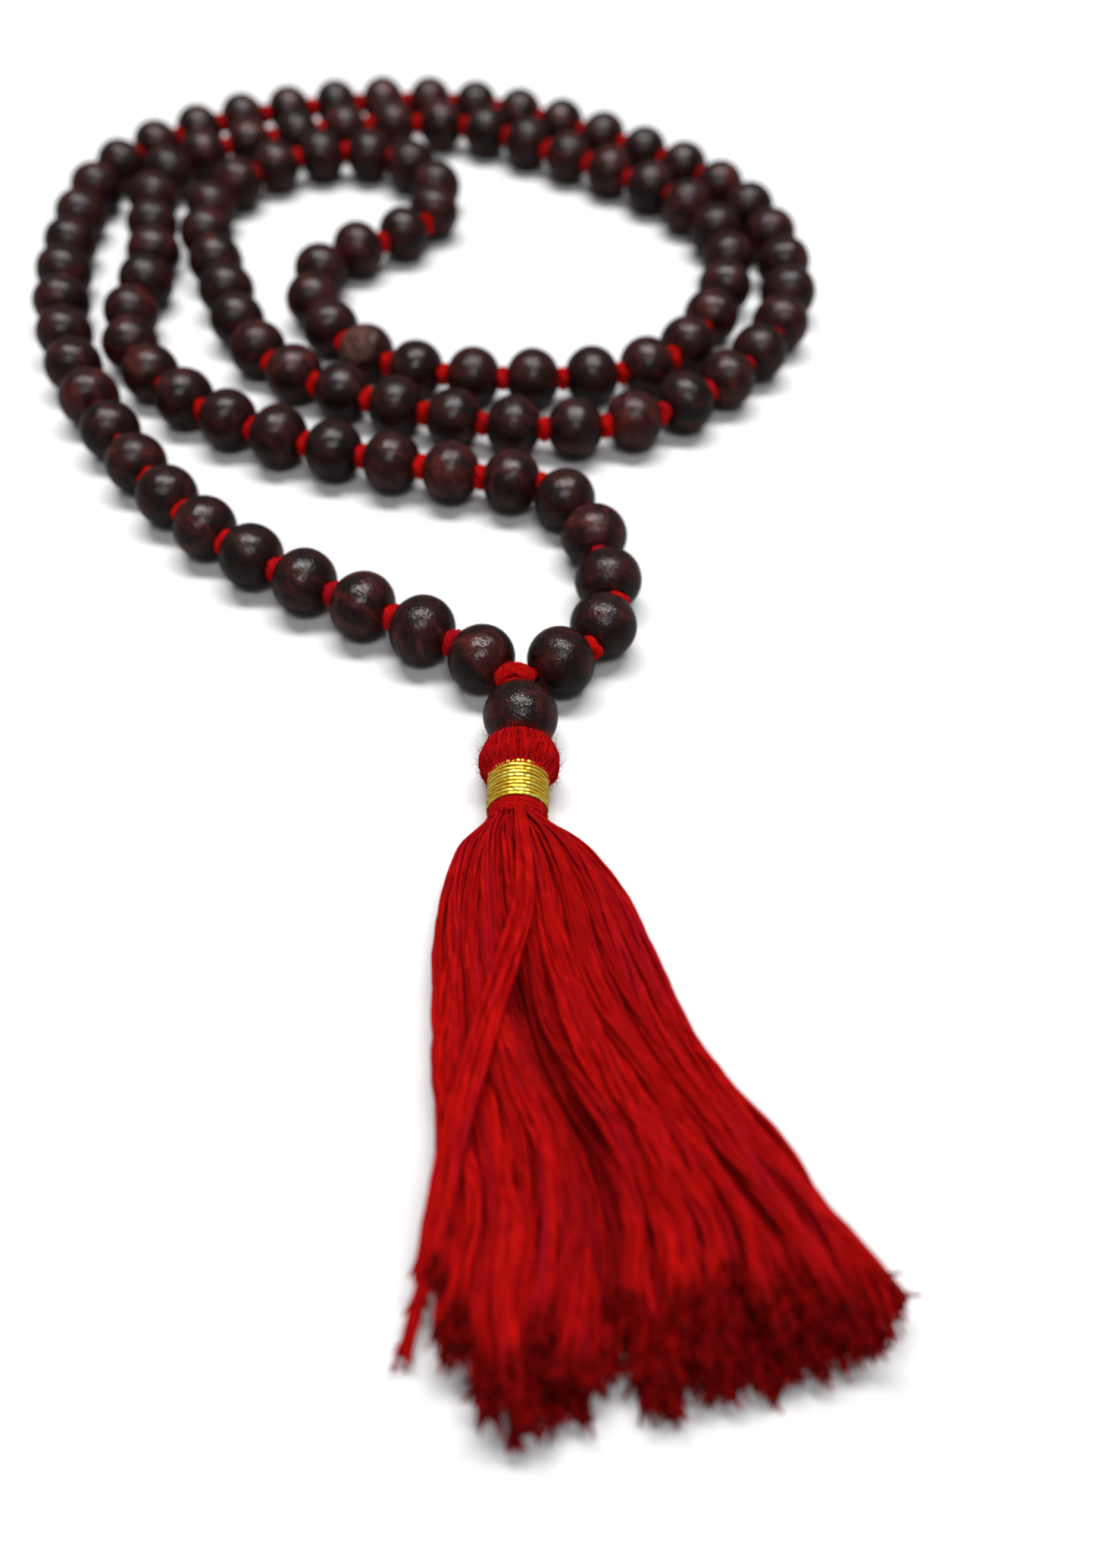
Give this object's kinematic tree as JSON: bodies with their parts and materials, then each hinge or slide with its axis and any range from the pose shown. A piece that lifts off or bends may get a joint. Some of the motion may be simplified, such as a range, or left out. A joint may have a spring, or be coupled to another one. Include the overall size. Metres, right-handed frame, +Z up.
{
  "type": "mala prayer beads",
  "caption": "Knotted wooden mala lying in a coil: small round beads on a red cord, a guru bead and a red yarn tassel with a metallic wrap.",
  "frame": {"origin": "on the table, straight under the centre of the guru bead", "axes": "+Z up from the table; -Y from the guru bead along the tassel; +X to the right seen from the tassel's end"},
  "size_m": [0.115, 0.2099, 0.0105],
  "materials": {
    "rosewood": "dark red-brown turned rosewood under a satin varnish",
    "red_cord": "twisted red cotton cord",
    "tassel_yarn": "soft red viscose yarn",
    "gold_thread": "bright flat metallic thread"
  },
  "bodies": {
    "neck_span": {"neck_cord": "red_cord", "gather_knot": "red_cord", "guru_cord": "red_cord"},
    "lower_span": {"lower_cord": "red_cord"},
    "front_span": {"front_cord": "red_cord"},
    "coil": {"coil_cord": "red_cord", "coil_beads": "rosewood"},
    "middle_span": {"middle_cord": "red_cord", "middle_beads": "rosewood"},
    "back_span": {"back_cord": "red_cord", "back_beads": "rosewood"},
    "rear_span": {"rear_cord": "red_cord", "rear_beads": "rosewood"},
    "guru": {"guru_bead": "rosewood"},
    "tassel_knot": {"tassel_knot": "red_cord"},
    "tassel": {"tassel_head": "tassel_yarn", "gold_wrap": "gold_thread", "neck_tie": "red_cord"},
    "lock_left": {"lock_left": "tassel_yarn"},
    "lock_middle": {"lock_middle": "tassel_yarn"},
    "lock_right": {"lock_right": "tassel_yarn"},
    "lock_stray": {"lock_stray": "tassel_yarn"},
    "bead_001": {"bead_001": "rosewood"},
    "bead_002": {"bead_002": "rosewood"},
    "bead_003": {"bead_003": "rosewood"},
    "bead_004": {"bead_004": "rosewood"},
    "bead_005": {"bead_005": "rosewood"},
    "bead_006": {"bead_006": "rosewood"},
    "bead_007": {"bead_007": "rosewood"},
    "bead_008": {"bead_008": "rosewood"},
    "bead_009": {"bead_009": "rosewood"},
    "bead_038": {"bead_038": "rosewood"},
    "bead_039": {"bead_039": "rosewood"},
    "bead_040": {"bead_040": "rosewood"},
    "bead_041": {"bead_041": "rosewood"},
    "bead_042": {"bead_042": "rosewood"},
    "bead_043": {"bead_043": "rosewood"},
    "bead_044": {"bead_044": "rosewood"},
    "bead_045": {"bead_045": "rosewood"},
    "bead_046": {"bead_046": "rosewood"},
    "bead_047": {"bead_047": "rosewood"},
    "bead_048": {"bead_048": "rosewood"},
    "bead_049": {"bead_049": "rosewood"},
    "bead_050": {"bead_050": "rosewood"},
    "bead_093": {"bead_093": "rosewood"},
    "bead_094": {"bead_094": "rosewood"},
    "bead_095": {"bead_095": "rosewood"},
    "bead_096": {"bead_096": "rosewood"},
    "bead_097": {"bead_097": "rosewood"},
    "bead_098": {"bead_098": "rosewood"},
    "bead_099": {"bead_099": "rosewood"},
    "bead_100": {"bead_100": "rosewood"},
    "bead_101": {"bead_101": "rosewood"},
    "bead_102": {"bead_102": "rosewood"},
    "bead_103": {"bead_103": "rosewood"},
    "bead_104": {"bead_104": "rosewood"},
    "bead_105": {"bead_105": "rosewood"},
    "bead_106": {"bead_106": "rosewood"},
    "bead_107": {"bead_107": "rosewood"},
    "bead_108": {"bead_108": "rosewood"}
  },
  "joints": [
    {"name": "fold_front", "type": "hinge", "parent": "coil", "child": "front_span", "pos_m": [-0.04631, 0.04988, 0.00405], "axis": [-0.9929, 0.1191, 0], "range_deg": [0, 35]},
    {"name": "fold_lower", "type": "hinge", "parent": "front_span", "child": "lower_span", "pos_m": [-0.02394, 0.03587, 0.00405], "axis": [-0.9771, -0.2126, 0], "range_deg": [0, 35]},
    {"name": "fold_neck", "type": "hinge", "parent": "lower_span", "child": "neck_span", "pos_m": [-0.00665, 0.02169, 0.00405], "axis": [-0.9756, -0.2196, 0], "range_deg": [0, 35]},
    {"name": "fold_middle", "type": "hinge", "parent": "coil", "child": "middle_span", "pos_m": [-0.02469, 0.08104, 0.00405], "axis": [0.9854, -0.1702, 0], "range_deg": [0, 25]},
    {"name": "fold_back", "type": "hinge", "parent": "middle_span", "child": "back_span", "pos_m": [-0.02198, 0.10086, 0.00405], "axis": [0.9706, -0.2409, 0], "range_deg": [0, 15]},
    {"name": "fold_rear", "type": "hinge", "parent": "back_span", "child": "rear_span", "pos_m": [-0.0173, 0.12629, 0.00405], "axis": [0.9919, -0.1271, 0], "range_deg": [0, 30]},
    {"name": "guru_turn", "type": "hinge", "parent": "neck_span", "child": "guru", "pos_m": [0, 0, 0.00405], "axis": [0, 1, 0], "continuous": true},
    {"name": "tassel_swing", "type": "hinge", "parent": "neck_span", "child": "tassel_knot", "pos_m": [0, -0.00435, 0.00405], "axis": [0, 0, 1], "range_deg": [-15, 15]},
    {"name": "tassel_lift", "type": "hinge", "parent": "tassel_knot", "child": "tassel", "pos_m": [0, -0.00435, 0.00405], "axis": [-1, 0, 0], "range_deg": [0, 25]},
    {"name": "lock_left_open", "type": "hinge", "parent": "tassel", "child": "lock_left", "pos_m": [-0.00198, -0.0144, 0.00405], "axis": [0, 0, -1], "range_deg": [0, 12]},
    {"name": "lock_middle_lift", "type": "hinge", "parent": "tassel", "child": "lock_middle", "pos_m": [0.00007, -0.0144, 0.00405], "axis": [-1, 0, 0], "range_deg": [0, 5]},
    {"name": "lock_right_open", "type": "hinge", "parent": "tassel", "child": "lock_right", "pos_m": [0.00216, -0.0144, 0.00405], "axis": [0, 0, 1], "range_deg": [0, 12]},
    {"name": "lock_stray_open", "type": "hinge", "parent": "lock_left", "child": "lock_stray", "pos_m": [0.0003, -0.015, 0.0083], "axis": [0, 0, -1], "range_deg": [0, 15]},
    {"name": "turn_bead_001", "type": "hinge", "parent": "neck_span", "child": "bead_001", "pos_m": [-0.00459, 0.00841, 0.00405], "axis": [-0.8161, 0.5779, 0], "continuous": true},
    {"name": "turn_bead_002", "type": "hinge", "parent": "neck_span", "child": "bead_002", "pos_m": [-0.01141, 0.01264, 0.00405], "axis": [-0.8803, 0.4744, 0], "continuous": true},
    {"name": "turn_bead_003", "type": "hinge", "parent": "neck_span", "child": "bead_003", "pos_m": [-0.01854, 0.01638, 0.00405], "axis": [-0.891, 0.4541, 0], "continuous": true},
    {"name": "turn_bead_004", "type": "hinge", "parent": "lower_span", "child": "bead_004", "pos_m": [-0.02565, 0.02016, 0.00405], "axis": [-0.8745, 0.485, 0], "continuous": true},
    {"name": "turn_bead_005", "type": "hinge", "parent": "lower_span", "child": "bead_005", "pos_m": [-0.0325, 0.02437, 0.00405], "axis": [-0.8285, 0.5599, 0], "continuous": true},
    {"name": "turn_bead_006", "type": "hinge", "parent": "lower_span", "child": "bead_006", "pos_m": [-0.03884, 0.0293, 0.00405], "axis": [-0.7469, 0.665, 0], "continuous": true},
    {"name": "turn_bead_007", "type": "hinge", "parent": "front_span", "child": "bead_007", "pos_m": [-0.04452, 0.03499, 0.00405], "axis": [-0.662, 0.7495, 0], "continuous": true},
    {"name": "turn_bead_008", "type": "hinge", "parent": "front_span", "child": "bead_008", "pos_m": [-0.0496, 0.04122, 0.00405], "axis": [-0.6012, 0.7991, 0], "continuous": true},
    {"name": "turn_bead_009", "type": "hinge", "parent": "front_span", "child": "bead_009", "pos_m": [-0.05428, 0.04777, 0.00405], "axis": [-0.5611, 0.8278, 0], "continuous": true},
    {"name": "turn_bead_038", "type": "hinge", "parent": "coil", "child": "bead_038", "pos_m": [0.03122, 0.0677, 0.00405], "axis": [-0.5497, -0.8354, 0], "continuous": true},
    {"name": "turn_bead_039", "type": "hinge", "parent": "coil", "child": "bead_039", "pos_m": [0.02628, 0.06138, 0.00405], "axis": [-0.6771, -0.7359, 0], "continuous": true},
    {"name": "turn_bead_040", "type": "hinge", "parent": "coil", "child": "bead_040", "pos_m": [0.02038, 0.05593, 0.00405], "axis": [-0.7875, -0.6164, 0], "continuous": true},
    {"name": "turn_bead_041", "type": "hinge", "parent": "coil", "child": "bead_041", "pos_m": [0.0135, 0.0519, 0.00405], "axis": [-0.9223, -0.3865, 0], "continuous": true},
    {"name": "turn_bead_042", "type": "hinge", "parent": "coil", "child": "bead_042", "pos_m": [0.00578, 0.04999, 0.00405], "axis": [-0.9963, -0.0863, 0], "continuous": true},
    {"name": "turn_bead_043", "type": "hinge", "parent": "coil", "child": "bead_043", "pos_m": [-0.00222, 0.05014, 0.00405], "axis": [-0.9926, 0.1215, 0], "continuous": true},
    {"name": "turn_bead_044", "type": "hinge", "parent": "coil", "child": "bead_044", "pos_m": [-0.01013, 0.05159, 0.00405], "axis": [-0.9708, 0.24, 0], "continuous": true},
    {"name": "turn_bead_045", "type": "hinge", "parent": "coil", "child": "bead_045", "pos_m": [-0.01785, 0.05384, 0.00405], "axis": [-0.9479, 0.3185, 0], "continuous": true},
    {"name": "turn_bead_046", "type": "hinge", "parent": "coil", "child": "bead_046", "pos_m": [-0.02532, 0.0568, 0.00405], "axis": [-0.909, 0.4168, 0], "continuous": true},
    {"name": "turn_bead_047", "type": "hinge", "parent": "coil", "child": "bead_047", "pos_m": [-0.03228, 0.06079, 0.00405], "axis": [-0.8186, 0.5744, 0], "continuous": true},
    {"name": "turn_bead_048", "type": "hinge", "parent": "coil", "child": "bead_048", "pos_m": [-0.038, 0.06631, 0.00405], "axis": [-0.6029, 0.7978, 0], "continuous": true},
    {"name": "turn_bead_049", "type": "hinge", "parent": "coil", "child": "bead_049", "pos_m": [-0.04193, 0.07326, 0.00405], "axis": [-0.3727, 0.928, 0], "continuous": true},
    {"name": "turn_bead_050", "type": "hinge", "parent": "coil", "child": "bead_050", "pos_m": [-0.04471, 0.08081, 0.00405], "axis": [-0.3178, 0.9481, 0], "continuous": true},
    {"name": "turn_bead_093", "type": "hinge", "parent": "coil", "child": "bead_093", "pos_m": [-0.05675, 0.08261, 0.00405], "axis": [-0.0854, -0.9963, 0], "continuous": true},
    {"name": "turn_bead_094", "type": "hinge", "parent": "coil", "child": "bead_094", "pos_m": [-0.05718, 0.07458, 0.00405], "axis": [-0.0216, -0.9998, 0], "continuous": true},
    {"name": "turn_bead_095", "type": "hinge", "parent": "coil", "child": "bead_095", "pos_m": [-0.05568, 0.06697, 0.00405], "axis": [0.4039, -0.9148, 0], "continuous": true},
    {"name": "turn_bead_096", "type": "hinge", "parent": "coil", "child": "bead_096", "pos_m": [-0.0516, 0.06035, 0.00405], "axis": [0.6355, -0.7721, 0], "continuous": true},
    {"name": "turn_bead_097", "type": "hinge", "parent": "coil", "child": "bead_097", "pos_m": [-0.04604, 0.05487, 0.00405], "axis": [0.7818, -0.6235, 0], "continuous": true},
    {"name": "turn_bead_098", "type": "hinge", "parent": "coil", "child": "bead_098", "pos_m": [-0.03953, 0.05053, 0.00405], "axis": [0.877, -0.4806, 0], "continuous": true},
    {"name": "turn_bead_099", "type": "hinge", "parent": "front_span", "child": "bead_099", "pos_m": [-0.03244, 0.0472, 0.00405], "axis": [0.929, -0.37, 0], "continuous": true},
    {"name": "turn_bead_100", "type": "hinge", "parent": "front_span", "child": "bead_100", "pos_m": [-0.02505, 0.04457, 0.00405], "axis": [0.954, -0.2998, 0], "continuous": true},
    {"name": "turn_bead_101", "type": "hinge", "parent": "front_span", "child": "bead_101", "pos_m": [-0.0175, 0.04241, 0.00405], "axis": [0.9682, -0.2503, 0], "continuous": true},
    {"name": "turn_bead_102", "type": "hinge", "parent": "front_span", "child": "bead_102", "pos_m": [-0.00987, 0.04059, 0.00405], "axis": [0.9774, -0.2116, 0], "continuous": true},
    {"name": "turn_bead_103", "type": "hinge", "parent": "lower_span", "child": "bead_103", "pos_m": [-0.00217, 0.03907, 0.00405], "axis": [0.9841, -0.1774, 0], "continuous": true},
    {"name": "turn_bead_104", "type": "hinge", "parent": "lower_span", "child": "bead_104", "pos_m": [0.0045, 0.03562, 0.00405], "axis": [0.7142, -0.6999, 0], "continuous": true},
    {"name": "turn_bead_105", "type": "hinge", "parent": "lower_span", "child": "bead_105", "pos_m": [0.00806, 0.02903, 0.00405], "axis": [0.1939, -0.981, 0], "continuous": true},
    {"name": "turn_bead_106", "type": "hinge", "parent": "neck_span", "child": "bead_106", "pos_m": [0.00966, 0.02134, 0.00405], "axis": [0.2121, -0.9773, 0], "continuous": true},
    {"name": "turn_bead_107", "type": "hinge", "parent": "neck_span", "child": "bead_107", "pos_m": [0.00902, 0.01387, 0.00405], "axis": [-0.3753, -0.9269, 0], "continuous": true},
    {"name": "turn_bead_108", "type": "hinge", "parent": "neck_span", "child": "bead_108", "pos_m": [0.00423, 0.00812, 0.00405], "axis": [-0.8436, -0.5369, 0], "continuous": true}
  ]
}
